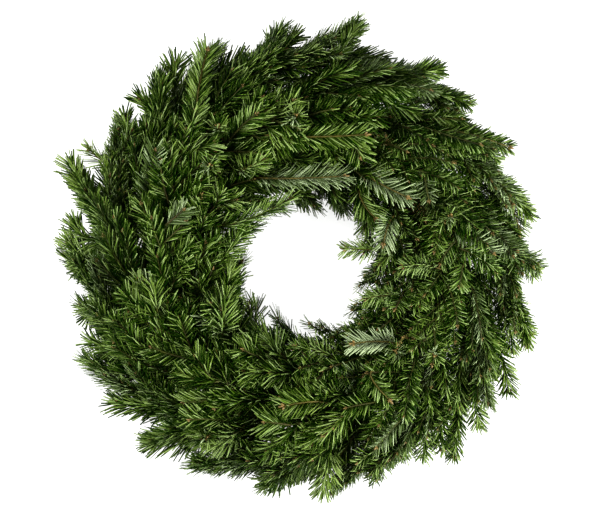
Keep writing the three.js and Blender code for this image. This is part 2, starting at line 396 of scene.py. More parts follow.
def make_needle(tone, droop, swerve):
    """A needle one unit long along +Y and two units wide, with its upper side to +Z."""
    shape = bmesh.new()
    uv, tone_layer = strand_layers(shape)
    bmesh.ops.create_cone(shape, segments=3, radius1=1, radius2=1, depth=1, cap_ends=True)
    spans = len(NEEDLE_STATIONS) - 1
    bmesh.ops.subdivide_edges(shape, edges=end_to_end_edges(shape), cuts=spans - 1)
    corners = {}
    for vert in shape.verts:
        station = round((vert.co.z + 0.5) * spans)
        edge = round((math.degrees(math.atan2(vert.co.y, vert.co.x)) - 90) / 120) % 3
        corners[vert] = (station, edge)
    for vert, (station, edge) in corners.items():
        along = NEEDLE_STATIONS[station]
        half = NEEDLE_HALF_WIDTHS[station]
        across = {RIGHT_EDGE: half, LEFT_EDGE: -half, RIDGE_EDGE: 0}[edge]
        height = RIDGE * half if edge == RIDGE_EDGE else 0
        vert.co = (across + swerve * along**2, along, height + droop * along**2)
        vert[tone_layer] = tone
    for face in shape.faces:
        lower = all(corners[vert][1] != RIDGE_EDGE for vert in face.verts)
        for loop in face.loops:
            station, edge = corners[loop.vert]
            loop[uv].uv = (EDGE_U[edge] + (UNDERSIDE_U if lower else 0), NEEDLE_STATIONS[station])
        face.material_index = NEEDLE
        face.smooth = len(face.verts) == 4
    return as_mesh(shape, "needle")


NEEDLES = [
    make_needle(i / (NEEDLE_TONES - 1), DROOPS[i % len(DROOPS)], SWERVES[i % len(SWERVES)])
    for i in range(NEEDLE_TONES)
]
print("a needle has", len(NEEDLES[0].polygons), "faces")

# %% Bud template
BUD_SEGMENTS = 6
BUD_RINGS = 4
BUD_WIDTH = 0.62  # at the blunt end, as a share of the length
BUD_TAPER = 0.35  # share of the width lost from end to end


def make_bud():
    """An egg one unit long, standing on its blunt end."""
    shape = bmesh.new()
    strand_layers(shape)
    bmesh.ops.create_uvsphere(shape, u_segments=BUD_SEGMENTS, v_segments=BUD_RINGS, radius=0.5)
    for vert in shape.verts:
        narrow = BUD_WIDTH * (1 - BUD_TAPER * (vert.co.z + 0.5))
        vert.co = (vert.co.x * narrow, vert.co.z + 0.5, vert.co.y * narrow)
    for face in shape.faces:
        face.material_index = BUD
        face.smooth = True
    return as_mesh(shape, "bud")


BUD_SHAPE = make_bud()
print("a bud has", len(BUD_SHAPE.polygons), "faces")

# %% [markdown]
# ## A shoot
#
# A shoot is a thin tapering stem with needles set round it in a spiral. Each needle stands about half a
# millimetre further on than the last, turned by the golden angle. On this fir the needles above the stem
# sweep forward, the ones at the sides spread wide, and the ones below comb out to the sides, so the shoot is
# a full brush from above and parted from below. Some shoots are parted above too, and show their stem. A
# particle system could scatter the needles, but it wouldn't know the parting, so each one is placed by a
# short formula. On a shoot that isn't rolled over, they turn their dark side up.

# %% Paths
class Path:
    """A smooth line through points, each with its own up direction, measured along its length."""

    def __init__(self, points, ups):
        self.points = points
        self.ups = ups
        self.marks = [0.0]
        for a, b in zip(points, points[1:]):
            self.marks.append(self.marks[-1] + (b - a).length)
        self.length = self.marks[-1]

    def at(self, distance):
        """Place, direction, side and up at a distance along the path."""
        last = len(self.points) - 2
        i = 0
        while i < last and self.marks[i + 1] < distance:
            i += 1
        share = (distance - self.marks[i]) / (self.marks[i + 1] - self.marks[i])
        place = self.points[i].lerp(self.points[i + 1], share)
        before = self.points[max(i - 1, 0)]
        after = self.points[min(i + 2, last + 1)]
        one, two = self.points[i + 1] - before, after - self.points[i]
        forward = one.normalized().lerp(two.normalized(), min(max(share, 0), 1)).normalized()
        up = self.ups[i].lerp(self.ups[i + 1], share)
        side = forward.cross(up).normalized()
        return place, forward, side, side.cross(forward)


# %% Stems, stalks and thread
STEM_SIDES = 6
STREAK_LENGTH = 25 * MM


def add_rod(shape, path, thick, thin, finish, sides=STEM_SIDES, tone=0.0):
    """A tapering rod along a path, with a ring of corners at each of the path's points."""
    rod = bmesh.new()
    uv, tone_layer = strand_layers(rod)
    bmesh.ops.create_cone(rod, segments=sides, radius1=thick, radius2=thin, depth=1, cap_ends=True)
    bmesh.ops.subdivide_edges(rod, edges=end_to_end_edges(rod), cuts=len(path.points) - 2)
    spots = {}
    for vert in rod.verts:
        distance = path.marks[round((vert.co.z + 0.5) * (len(path.points) - 1))]
        spots[vert] = (abs(math.atan2(vert.co.y, vert.co.x)) / math.pi, distance / STREAK_LENGTH)
        place, forward, side, up = path.at(distance)
        vert.co = place + side * vert.co.x + up * vert.co.y
        vert[tone_layer] = tone
    for face in rod.faces:
        for loop in face.loops:
            loop[uv].uv = spots[loop.vert]
        face.material_index = finish
        face.smooth = len(face.verts) == 4
    mesh = as_mesh(rod, "rod")
    shape.from_mesh(mesh)
    bpy.data.meshes.remove(mesh)


# %% How needles grow
GOLDEN_ANGLE = math.radians(137.5)
LOWEST = 2.8 * MM  # needles that would reach lower are pressed flat by the floor
HIGHEST = 127 * MM
NEEDLE_LENGTHS = {"long": 23 * MM, "short": 15.5 * MM}
NEEDLE_SPREADS = {"long": (0.64, 0.9), "short": (0.9, 1.2)}
NEEDLE_SPACING = 0.55 * MM
HIDDEN_SPACING = 0.95 * MM  # on the leading shoot's first part and the side shoots under the next rows
SLENDER = (0.45 * MM, 0.018)  # half width: a fixed part, and a share of the length
TOP_GATHER = 1.3  # over 1 sets more of the needles above the stem than below it
PAINTED_HIGHLIGHT_SHARE = 0.26  # of the needles, given a painted highlight: a brighter tone, as if they caught the light
PAINTED_HIGHLIGHT_GAIN = 0.64
TONE_GAIN = 0.2  # the needles near a shoot's tip are younger and brighter than those at its foot
SHADE = 0.5  # and the ones that grow downwards get painted shade: darker, as if in shadow
TONE_JITTER = 0.25
COMB_LOWEST = 112  # degrees from the top, where the needles from below end up
FULL = (0, COMB_LOWEST)  # a shoot covered with needles above
PARTED = (52, COMB_LOWEST)  # parted above too, so that its stem shows
ROUND = (0, 180)  # a shoot that stands up, with needles all round
LEANS = (26, 30)  # degrees off the stem for a needle above it, and more for one at its side
AROUND_JITTER = 0.2  # radians
SWEEP_JITTER = 0.13
SIZE_JITTER = 0.1
NEEDLE_WIDTHS = (0.82, 1.08)
NEEDLE_GAPS = (0.8, 1.2)
TOP_ANGLE = 0.9  # radians from the top, within which the needles are shorter
TOP_SIZE = 0.82
TIP_SPREAD = (0.78, 0.22, 14 * MM)  # share of a needle's spread left at the tip, and gained over this length
TIP_SIZE = (0.74, 0.26, 12 * MM)  # the same for its length
ROOTING = 0.6  # share of the stem's radius where a needle starts
FACE_TILT = (0.4, 0.25)  # how far a needle's upper side turns sideways at random, and outwards
MIDDLE = 0.6  # share along a stem where its own tone holds
print("a long needle is", round(2 * (SLENDER[0] + SLENDER[1] * NEEDLE_LENGTHS["long"]) / MM, 1), "mm wide")


# %% Needles along a stem
def add_copy(sprig, template, matrix):
    """A template's copy, placed by a matrix."""
    copy = template.copy()
    copy.transform(matrix)
    sprig.from_mesh(copy)
    bpy.data.meshes.remove(copy)


def frame_matrix(place, direction, up, scale):
    """The matrix that lays +Y along a direction and +Z as near to up as it goes."""
    side = direction.cross(up).normalized()
    turned = Matrix((side, direction, side.cross(direction))).transposed().to_4x4()
    return Matrix.Translation(place) @ turned @ Matrix.Diagonal((*scale, 1))


def needle_direction(forward, side, up, around, sweep, comb):
    """Where a needle points: around the stem from the top, combed out of the partings above and below."""
    least, most = (math.radians(limit) for limit in comb)
    combed = math.copysign(min(least + abs(around) * (1 - least / math.pi), most), around)
    lean = math.radians(LEANS[0] + LEANS[1] * math.sin(abs(combed))) * sweep
    outward = up * math.cos(combed) + side * math.sin(combed)
    return (forward * math.cos(lean) + outward * math.sin(lean)).normalized(), outward


def near_tip(left, least, gained, reach):
    """A share that is least at a shoot's tip and whole from a reach before it."""
    return least + gained * min(1, left / reach)


def add_needles(sprig, path, rng, start, length, spread, tone, roll, stem_radius, comb, hidden):
    """Needles from a distance along the path to its tip, sparser on its hidden share. Gives their number."""
    distance = start
    around = rng.uniform(0, math.tau)
    grown = 0
    while distance < path.length:
        place, forward, side, up = path.at(distance)
        turn = Matrix.Rotation(roll, 3, forward)
        side, up = turn @ side, turn @ up
        signed = (around + rng.gauss(0, AROUND_JITTER) + math.pi) % math.tau - math.pi
        signed = math.copysign(math.pi * (abs(signed) / math.pi) ** TOP_GATHER, signed)
        left = path.length - distance
        sweep = spread * rng.gauss(1.0, SWEEP_JITTER) * near_tip(left, *TIP_SPREAD)
        direction, outward = needle_direction(forward, side, up, signed, sweep, comb)
        shorter = (TOP_SIZE if abs(signed) < TOP_ANGLE else 1.0) * near_tip(left, *TIP_SIZE)
        size = length * rng.gauss(1.0, SIZE_JITTER) * shorter
        base = place + outward * stem_radius * ROOTING
        tip = base + direction * size
        tip.z = min(max(tip.z, LOWEST), HIGHEST)
        face_up = (up + side * rng.gauss(0, FACE_TILT[0]) + outward * FACE_TILT[1]).normalized()
        width = (SLENDER[0] + SLENDER[1] * length) * rng.uniform(*NEEDLE_WIDTHS)
        # the tone: age along the shoot and chance, with painted shade on the needles that point down
        aged_and_painted_light = tone + TONE_GAIN * (distance / path.length - MIDDLE) - SHADE * max(0, -outward.z)
        aged_and_painted_light += rng.gauss(0, TONE_JITTER)
        # painted highlight: a share of the needles is made brighter, as if it caught the light
        aged_and_painted_light += PAINTED_HIGHLIGHT_GAIN * (rng.random() < PAINTED_HIGHLIGHT_SHARE)
        pick = round(aged_and_painted_light * (NEEDLE_TONES - 1))
        template = NEEDLES[min(max(pick, 0), NEEDLE_TONES - 1)]
        run = tip - base
        add_copy(sprig, template, frame_matrix(base, run.normalized(), face_up, (width, run.length, width)))
        grown += 1
        around += GOLDEN_ANGLE
        spacing = HIDDEN_SPACING if distance < hidden * path.length else NEEDLE_SPACING
        distance += spacing * rng.uniform(*NEEDLE_GAPS)
    return grown


# %% Buds, whole shoots and bare twigs
BUD_SIZES = (3.2, 4.4)  # mm
RIPE_GAIN = 2  # mm more on a ripe shoot
SMALL_BUDS = (0.62, 0.8)  # the tip bud's neighbours, as shares of its size
TIP_BUD_BACK = 0.2  # how far it sits back from the tip, as a share of its size
SMALL_BUDS_BACK = 0.35  # the same for its neighbours
SMALL_BUDS_OUT = 0.12
BUD_SPLAY = 0.9  # sideways, for one part forward
BUD_TURN_JITTER = 0.3
STEM_RADII = (1.05 * MM, 0.65 * MM)  # at a side shoot's foot and at every shoot's tip
TWIG_RADII = (1.6 * MM, 1.2 * MM)
TWIG_BUDS = (3.0, 4.2)  # mm, as are the next two
TWIG_GAPS = (3, 6)
TWIG_TIP_BUD = 5
TWIG_BUD_RISE = 0.5  # upwards, for one part forward


def add_buds(sprig, path, rng, size):
    """A tip bud with two or three smaller ones round it."""
    place, forward, side, up = path.at(path.length)
    base = place - forward * size * TIP_BUD_BACK
    add_copy(sprig, BUD_SHAPE, frame_matrix(base, forward, up, (size,) * 3))
    for i in range(rng.choice((2, 2, 3))):
        turn = math.tau * (i + rng.random() * BUD_TURN_JITTER) / 3
        outward = side * math.cos(turn) + up * math.sin(turn)
        direction = (forward + outward * BUD_SPLAY).normalized()
        small = size * rng.uniform(*SMALL_BUDS)
        root = place - forward * size * SMALL_BUDS_BACK + outward * size * SMALL_BUDS_OUT
        add_copy(sprig, BUD_SHAPE, frame_matrix(root, direction, up, (small,) * 3))


def grow_shoot(
    sprig, path, rng, length, spread, tone,
    roll=0.0, bare=0.0, thick=STEM_RADII[0], comb=FULL, hidden=0.0, ripe=0.0,
):
    """A whole shoot: stem, needles past its bare part, and buds. A ripe one has a golden stem."""
    add_rod(sprig, path, thick, STEM_RADII[1], BARK, tone=ripe)
    grown = add_needles(sprig, path, rng, bare, length, spread, tone, roll, thick, comb, hidden)
    add_buds(sprig, path, rng, (rng.uniform(*BUD_SIZES) + RIPE_GAIN * ripe) * MM)
    return grown


def add_twig(sprig, path, rng):
    """A twig that has lost its needles: a knobbly stem with buds along its outer half."""
    add_rod(sprig, path, *TWIG_RADII, BARK, tone=1.0)
    distance = path.length / 2
    while distance < path.length:
        place, forward, side, up = path.at(distance)
        direction = (forward + side * rng.choice((-1, 1)) + up * TWIG_BUD_RISE).normalized()
        size = rng.uniform(*TWIG_BUDS) * MM
        add_copy(sprig, BUD_SHAPE, frame_matrix(place, direction, up, (size,) * 3))
        distance += rng.uniform(*TWIG_GAPS) * MM
    add_buds(sprig, path, rng, TWIG_TIP_BUD * MM)


# %% [markdown]
# ## Where the sprigs lie
#
# Five lanes of sprigs run round the ring, from the outer flank over the crown into the hole. The
# construction model bends each sprig's flat spray round the ring: it starts under the wire and rises as it
# goes, so that its tip covers the next rows. The same bend places the stems here, so every detailed sprig
# fills the space of the plain one that it replaces.

# %% The lanes, as in the construction model
ROWS = 11
TURNS_PER_ROW = 3
ROW_PITCH = 360 / ROWS
TURN_PITCH = ROW_PITCH / TURNS_PER_ROW
FIRST_TIE = 0.8
WIRE_ARC = (-25, 205)  # degrees round the section that the wire takes over the stems
TIE_TO_RISE = 1.15
STEM_CENTRE = 32.3 * MM
RISE_MEAN = 58 * MM
RISE_SWING = 18 * MM
CHART_RADIUS = 58 * MM
BEND_POWER = 1.6
LIFT_START = 0.6

# section: where round the ring's section the lane lies, in degrees. turn: which turn of the wire ties it.
# stem: its bare part, and edge: how far from the ring's centre its tips end, in mm. turns: the ways that the
# side shoots leave, in degrees. tips: each sprig's bearing and section angle, and how far it lifts, in mm.
LANES = {
    "outer": {
        "section": 18, "turn": 0, "stem": 30, "shoots": 45, "edge": 234, "longest": 70, "spread": 0.82,
        "turns": (10, 80, -40, 25, 95, -20, 35, -65, 0, 75, -85, -10, 100, 20, -75, 45, 85),
        "tips": [
            (48, 4, 4), (79, 8, 8), (113, 6, 18), (145, 4, 20), (176, 6, 8), (211, 6, 4),
            (249, 8, 10), (275, 8, 18), (311, 4, 6), (339, 8, 8), (376, 12, 24),
        ],
    },
    "front_outer": {
        "section": 55, "turn": -2, "stem": 30, "shoots": 34, "edge": 232, "longest": 70, "spread": 0.9,
        "turns": (-75, 70, -90, -20, -95, 30, -80, 100, -50, 60, -100),
        "tips": [
            (61, 22, 24), (93, 20, 26), (130, 24, 28), (165, 26, 14), (191, 22, 16), (223, 16, 30),
            (262, 20, 14), (293, 14, 38), (324, 22, 26), (357, 16, 22), (398, 24, 20),
        ],
    },
    "crown": {
        "section": 90, "turn": -1, "stem": 28, "shoots": 13, "edge": None, "longest": 58, "spread": 1.0,
        "turns": (80, -80, 100, -100, 40, -40, 70, -70),
        "tips": [
            (62, 84, 0), (97, 74, 0), (128, 86, 0), (160, 76, 0), (192, 70, 0), (227, 84, 0),
            (258, 78, 0), (292, 88, 0), (322, 76, 0), (357, 88, 0), (386, 92, 0),
        ],
    },
    "front_inner": {
        "section": 125, "turn": -3, "stem": 24, "shoots": 12, "edge": None, "longest": 48, "spread": 1.0,
        "turns": (-80, 75, -100, 90, -30, 50),
        "tips": [
            (88, 128, 0), (116, 120, 0), (150, 134, 0), (184, 124, 0), (216, 118, 0), (248, 128, 0),
            (282, 122, 0), (312, 118, 0), (346, 130, 0), (386, 140, 2), (419, 132, 0),
        ],
    },
    "inner": {
        "section": 163, "turn": -2, "stem": 20, "shoots": 10, "edge": 67, "longest": 36, "spread": 1.0,
        "turns": (-15, -90, 20, 75, -50),
        "tips": [
            (79, 160, 2), (109, 156, 6), (135, 166, 4), (171, 158, 6), (201, 166, 3), (234, 162, 4),
            (267, 166, 3), (299, 160, 5), (333, 164, 5), (365, 166, 6), (397, 160, 5),
        ],
    },
}
print(len(LANES), "lanes of", ROWS, "sprigs")


# %% The bend round the ring
def ring_point(bearing, section, distance):
    """A point by bearing and section angle, in radians, and distance from the ring's core line."""
    out = RING_RADIUS + distance * math.cos(section)
    x, y = RING_CENTRE
    height = CORE_HEIGHT + distance * math.sin(section)
    return Vector((x + out * math.sin(bearing), y + out * math.cos(bearing), height))


class Spray:
    """The flat spray of one sprig, bent round the ring as the construction model bends it."""

    def __init__(self, lane, row):
        self.section = math.radians(lane["section"])
        tip_bearing, tip_section, lift = lane["tips"][row]
        arc_share = (lane["section"] - WIRE_ARC[0]) / (WIRE_ARC[1] - WIRE_ARC[0])
        tie = FIRST_TIE - TURN_PITCH * (lane["turn"] + arc_share)
        self.base = math.radians(tie + TIE_TO_RISE + ROW_PITCH * row)
        self.radius = RING_RADIUS + CHART_RADIUS * math.cos(self.section)
        self.length = (math.radians(tip_bearing) - self.base) * self.radius
        self.swing = (math.radians(tip_section) - self.section) * CHART_RADIUS
        self.lift = lift * MM

    def at(self, along, across=0.0, height=0.0):
        """A point of the spray: along it and across it from its base, and above its middle surface."""
        travel = max(along, 0) / self.length
        section = self.section + (across + self.swing * travel**BEND_POWER) / CHART_RADIUS
        rise = (RISE_MEAN + RISE_SWING * math.cos(section)) * travel * self.length / self.radius
        lift = self.lift * max(0, (travel - LIFT_START) / (1 - LIFT_START)) ** 2
        return ring_point(self.base + along / self.radius, section, STEM_CENTRE + rise + lift + height)

    def path(self, places):
        """A path through places on the spray, each (along, across, height)."""
        points = [self.at(*place) for place in places]
        above = [self.at(along, across, height + MM) for along, across, height in places]
        return Path(points, [(b - a).normalized() for a, b in zip(points, above)])


# %% [markdown]
# ## The sprigs
#
# Each sprig is a leading shoot with side shoots in one plane, as fir grows. The side shoots leave at about
# forty-five degrees and curve forward. Lengths, angles and tones vary a little from shoot to shoot, always
# with the same random seed, so the wreath is the same each time it is made.

# %% The leading shoots
LEADER_STOP = 22 * MM
LEADER_SWAY = 12  # mm
NEEDLE_ROOM = 4 * MM  # with its needles' reach, how far a leading shoot ends inside the model's surface
NEEDLE_REACH = 0.8  # share of a needle's length that stands out past its shoot's tip
PATH_STEPS = 9
SHORT_NEEDLES = (20, 190)  # tip bearings of the sprigs of a second kind, with shorter needles
SPRIG_TONES = (0.12, 0.24)
NEEDLE_VARIETY = (0.84, 1.08)
ROLLED = 0.03  # share of the side shoots that lie rolled over, with their silvery side up
FLANK_ROLLED = 0.28  # the same, on the outer flank of the second kind
ROLLED_SHADE = 0.12  # how much darker they are


def leader_path(spray, stem, needle, rng):
    """The leading shoot's path, from its cut end under the wire."""
    end = spray.length - LEADER_STOP
    sway = rng.uniform(-LEADER_SWAY, LEADER_SWAY) * MM
    room = NEEDLE_ROOM + NEEDLE_REACH * needle
    places = [(-stem * MM, 0, 0)]
    for i in range(PATH_STEPS):
        share = i / (PATH_STEPS - 1)
        places.append((share * end, sway * math.sin(math.pi * share), -room * share))
    return spray.path(places)


class Sprig:
    """What a sprig grows from: its lane, spray, leading shoot, tone, and its own random draws."""

    def __init__(self, lane_name, row):
        lane = LANES[lane_name]
        self.lane = lane
        self.node = f"{lane_name}_sprig_{row + 1:02d}"
        self.rng = random.Random(f"{lane_name} {row}")
        self.spray = Spray(lane, row)
        self.tone = self.rng.uniform(*SPRIG_TONES)
        tip_bearing = lane["tips"][row][0]
        kind = "short" if SHORT_NEEDLES[0] < tip_bearing < SHORT_NEEDLES[1] else "long"
        self.rolled_share = FLANK_ROLLED if kind == "short" and lane["spread"] < 1 else ROLLED
        self.needle = NEEDLE_LENGTHS[kind] * self.rng.uniform(*NEEDLE_VARIETY)
        self.spread = self.rng.uniform(*NEEDLE_SPREADS[kind]) * lane["spread"]
        self.leader = leader_path(self.spray, lane["stem"], self.needle, self.rng)
        self.showing = []
        self.twigs = []


SPRIGS = [Sprig(lane_name, row) for lane_name in LANES for row in range(ROWS)]
longest = max(sprig.leader.length for sprig in SPRIGS)
print(len(SPRIGS), "leading shoots, the longest", round(longest / MM), "mm")

# %% Side shoots
SIDE_ANGLE = 42  # degrees off the leading shoot
SIDE_BEND = 0.28  # share of that angle lost by the tip
SIDE_STEPS = 4
OUTWARD_SHARE = 0.8  # how flat a side shoot that leaves outwards is pressed
FIRST_SHARE = 0.08  # shares of the leading shoot between which the side shoots leave
LAST_SHARE = 0.87
PLACE_JITTER = 0.3  # of the room between two side shoots
TURN_JITTER = 26  # degrees, as is the next one
ANGLE_JITTER = 17
MARGIN_JITTER = 5  # mm
TOWARDS_EDGE = 52  # degrees off outwards, within which a side shoot reaches the wreath's edge
SIDE_TAPER = 0.55  # how much shorter the others are at the tip
SIDE_VARIETY = (0.8, 1.1)
GROWING_STEP = 2 * MM
CUTTING_STEP = 3 * MM
SHORTEST = 20 * MM  # of the ones that reach for the edge
STUB = 14 * MM  # the least that is left of the others
DEPTH_GAIN = 0.2  # painted shade: the first side shoots lie deep under the next rows, so their tone is darkened
RIM = 241 * MM  # where the side shoots' needles end
HOLE = 62 * MM
HOLE_CENTRE = RING_CENTRE + Vector((-3, -12)) * MM
FLOOR_GAP = 5 * MM
SETTLING = 100 * MM  # above this the shoots flatten, as if stroked down
FLATTENING = 16 * MM


def settled(point):
    """A stem's point kept above the floor, and flattened near the wreath's top."""
    over = point.z - SETTLING
    if over > 0:
        point.z = SETTLING + FLATTENING * (1 - math.exp(-over / FLATTENING))
    point.z = max(point.z, FLOOR_GAP)
    return point


def side_path(spray, share, angle, turn, reach):
    """A side shoot's path. turn is the way it leaves the leader: 0 outwards, 90 and -90 to the sides."""
    places = []
    for i in range(SIDE_STEPS + 1):
        step = i / SIDE_STEPS
        bent = angle * (1 - SIDE_BEND * step)
        away = reach * step * math.sin(bent)
        along = share * spray.length + reach * step * math.cos(bent)
        places.append((along, away * math.sin(turn), away * math.cos(turn) * OUTWARD_SHARE))
    path = spray.path(places)
    return Path([settled(point) for point in path.points], path.ups)


def from_centre(point, centre):
    """How far a point is from a centre, seen from above."""
    return (point.to_2d() - centre).length


def reaching_edge(spray, share, angle, turn, edge, longest, margin):
    """A side shoot's path that stops a margin short of the wreath's edge."""
    reach = SHORTEST
    path = side_path(spray, share, angle, turn, reach)
    outwards, centre = (1, RING_CENTRE) if edge > RING_RADIUS else (-1, HOLE_CENTRE)
    while reach < longest and (edge - from_centre(path.points[-1], centre)) * outwards > margin:
        reach += GROWING_STEP
        path = side_path(spray, share, angle, turn, reach)
    return path


def stands_out(point, margin):
    """Whether a tip is nearer than a margin to the rim or the hole."""
    near_rim = from_centre(point, RING_CENTRE) > RIM - margin
    return near_rim or from_centre(point, HOLE_CENTRE) < HOLE + margin


def held_in(spray, share, angle, turn, reach, margin):
    """A side shoot's path, cut shorter where its needles would stand out."""
    path = side_path(spray, share, angle, turn, reach)
    while reach > STUB and stands_out(path.points[-1], margin):
        reach -= CUTTING_STEP
        path = side_path(spray, share, angle, turn, reach)
    return path


def side_paths(sprig):
    """The side shoots of one sprig, each with its share along the leader and its path."""
    lane, rng = sprig.lane, sprig.rng
    paths = []
    for i in range(lane["shoots"]):
        step = (i + rng.uniform(-PLACE_JITTER, PLACE_JITTER)) / (lane["shoots"] - 1)
        share = FIRST_SHARE + (LAST_SHARE - FIRST_SHARE) * min(max(step, 0), 1)
        degrees = lane["turns"][i % len(lane["turns"])] + rng.uniform(-TURN_JITTER, TURN_JITTER)
        angle = math.radians(SIDE_ANGLE + rng.uniform(-ANGLE_JITTER, ANGLE_JITTER))
        turn = math.radians(degrees)
        margin = NEEDLE_REACH * sprig.needle + rng.uniform(-MARGIN_JITTER, MARGIN_JITTER) * MM
        longest = lane["longest"] * MM
        if lane["edge"] and abs(degrees) < TOWARDS_EDGE:
            path = reaching_edge(sprig.spray, share, angle, turn, lane["edge"] * MM, longest, margin)
        else:
            reach = longest * (1 - SIDE_TAPER * share) * rng.uniform(*SIDE_VARIETY)
            path = held_in(sprig.spray, share, angle, turn, reach, margin)
        paths.append((share, path))
    return paths


print(ROWS * sum(lane["shoots"] for lane in LANES.values()), "side shoots to grow")

# %% [markdown]
# ## Shoots that catch the eye
#
# Some shoots stand out on the real wreath: bright tips, silvery ones rolled over, long ones with a golden
# stem, tips that face the viewer, and two twigs that lost their needles. Random growth wouldn't put them in
# their places, so they are set one by one: where each comes up out of the needles and where it ends, in
# millimetres right and up from the ring's centre and above the floor, with its tone and how far it is rolled
# over. A second list fills the gaps between sprigs in the same way. Each shoot is tied in to the nearest
# leading shoot that runs its way, so it grows on its sprig seen from any side.

# %% The chosen shoots
CHOSEN = [  # (root, tip, tone, roll in degrees) of the ones that show most
    ((-207, 28, 58), (-246, 104, 52), 0.42, 20),
    ((-216, 105, 40), (-228, 120, 42), 0.72, 60),
    ((-228, 0, 50), (-250, 22, 48), 0.44, 0),
    ((-186, -104, 62), (-225, -84, 50), 0.34, 0),
    ((-140, -160, 52), (-199, -149, 42), 0.26, 20),
    ((-95, -196, 50), (-164, -191, 40), 0.22, 30),
    ((0, -215, 55), (-42, -232, 45), 0.34, 0),
    ((30, -193, 82), (20, -238, 66), 0.64, 0),
    ((132, -163, 70), (126, -206, 50), 0.30, 0),
    ((166, -152, 65), (158, -206, 50), 0.22, 0),
    ((222, -52, 60), (240, -76, 50), 0.38, 0),
    ((225, 15, 60), (243, -14, 48), 0.34, 0),
    ((132, 186, 62), (174, 166, 52), 0.26, 0),
    ((23, 205, 80), (56, 247, 58), 0.38, 0),
    ((-44, 216, 62), (-8, 238, 52), 0.38, 0),
    ((-146, 180, 60), (-134, 210, 50), 0.34, 0),
    ((-151, 160, 66), (-172, 172, 60), 0.30, 0),
    ((205, 92, 70), (238, 48, 54), 0.38, 0),
    ((-52, 82, 104), (42, 88, 108), 0.34, 150),
    ((50, 92, 106), (106, 66, 110), 0.36, 165),
    ((87, 55, 108), (81, 18, 108), 0.42, 180),
    ((72, 12, 92), (42, 14, 84), 0.52, 30),
    ((128, 2, 104), (100, -5, 108), 0.88, 0),
    ((98, -28, 100), (62, -38, 94), 0.80, 20),
    ((96, -76, 108), (50, -83, 110), 1.00, 180),
    ((-72, 92, 106), (-40, 104, 110), 0.52, 40),
    ((-170, -47, 92), (-170, -16, 92), 0.92, 60),
    ((-82, -72, 104), (-84, -48, 102), 0.50, 0),
    ((57, -146, 108), (22, -176, 100), 0.38, 0),
    ((-65, -184, 88), (-96, -188, 82), 0.85, 0),
    ((-76, 28, 92), (-14, 66, 88), 0.38, 60),
]

# %% The shoots that fill gaps and edges
FILLING = [  # (root, tip, tone, roll in degrees)
    ((206, -71, 62), (216, -136, 52), 0.26, 0),
    ((174, -113, 66), (184, -172, 52), 0.34, 0),
    ((143, -134, 70), (146, -198, 54), 0.26, 0),
    ((227, -24, 58), (236, -88, 48), 0.30, 0),
    ((190, -60, 78), (196, -118, 68), 0.22, 0),
    ((160, -95, 80), (160, -152, 70), 0.30, 0),
    ((-214, 28, 52), (-237, -8, 42), 0.38, 0),
    ((-209, -29, 52), (-229, -58, 42), 0.34, 0),
    ((143, -88, 84), (150, -146, 74), 0.26, 0),
    ((164, -74, 66), (138, -138, 56), 0.22, 0),
    ((128, -120, 84), (134, -168, 66), 0.30, 0),
    ((212, -36, 64), (220, -94, 54), 0.26, 0),
    ((206, -30, 50), (208, -92, 44), 0.22, 0),
    ((142, 124, 70), (178, 74, 60), 0.26, 0),
    ((-95, -158, 62), (-150, -116, 56), 0.26, 0),
    ((80, -170, 60), (30, -200, 50), 0.26, 0),
    ((8, -88, 62), (-30, -82, 52), 0.26, 0),
    ((-34, -92, 64), (-62, -68, 54), 0.26, 0),
    ((-88, -44, 62), (-84, -4, 56), 0.26, 0),
    ((40, 222, 50), (78, 206, 42), 0.22, 0),
    ((216, 84, 58), (228, 34, 46), 0.34, 140),
    ((204, 96, 70), (218, 60, 62), 0.38, 160),
    ((190, 34, 84), (200, -6, 78), 0.30, 0),
    ((72, 170, 84), (112, 158, 76), 0.26, 0),
    ((140, 178, 50), (174, 142, 44), 0.26, 0),
    ((-204, 92, 44), (-184, 136, 40), 0.26, 0),
    ((-186, 106, 56), (-162, 148, 50), 0.26, 0),
    ((54, -86, 58), (14, -88, 50), 0.22, 0),
    ((74, -34, 60), (68, -66, 52), 0.22, 0),
    ((176, 132, 44), (202, 96, 40), 0.26, 0),
    ((-108, 192, 50), (-66, 214, 44), 0.26, 0),
    ((186, 30, 64), (184, -28, 56), 0.28, 0),
    ((-56, 168, 70), (-4, 180, 64), 0.26, 0),
    ((-178, -134, 50), (-204, -92, 44), 0.26, 0),
    ((44, 168, 72), (92, 150, 66), 0.28, 0),
    ((140, -172, 48), (96, -200, 42), 0.26, 0),
    ((200, 24, 56), (196, -38, 48), 0.26, 0),
    ((94, 24, 62), (78, -22, 54), 0.26, 0),
    ((-84, 56, 62), (-44, 78, 56), 0.26, 0),
    ((42, -212, 50), (-4, -226, 42), 0.24, 0),
    ((112, 128, 62), (150, 92, 56), 0.24, 0),
    ((208, 84, 52), (214, 26, 44), 0.26, 0),
    ((222, 20, 46), (222, -44, 40), 0.26, 0),
    ((170, 140, 54), (204, 108, 46), 0.26, 0),
    ((84, -30, 62), (62, -62, 54), 0.24, 0),
    ((152, -148, 52), (138, -192, 44), 0.24, 0),
    ((-216, 58, 50), (-206, 104, 44), 0.26, 0),
    ((-238, 10, 50), (-242, 42, 44), 0.34, 0),
    ((-184, 126, 54), (-190, 154, 46), 0.30, 0),
    ((-190, 8, 64), (-172, 44, 58), 0.24, 0),
    ((-24, 182, 62), (22, 198, 54), 0.24, 0),
    ((32, -88, 82), (-12, -90, 80), 0.56, 20),
    ((-14, -92, 82), (-52, -72, 78), 0.52, 20),
    ((-80, -50, 76), (-78, -6, 72), 0.34, 0),
    ((-80, 2, 80), (-64, 36, 76), 0.34, 0),
    ((-132, -176, 46), (-168, -146, 40), 0.24, 0),
    ((-186, -134, 46), (-206, -92, 40), 0.24, 0),
    ((38, 226, 48), (82, 214, 40), 0.24, 0),
]

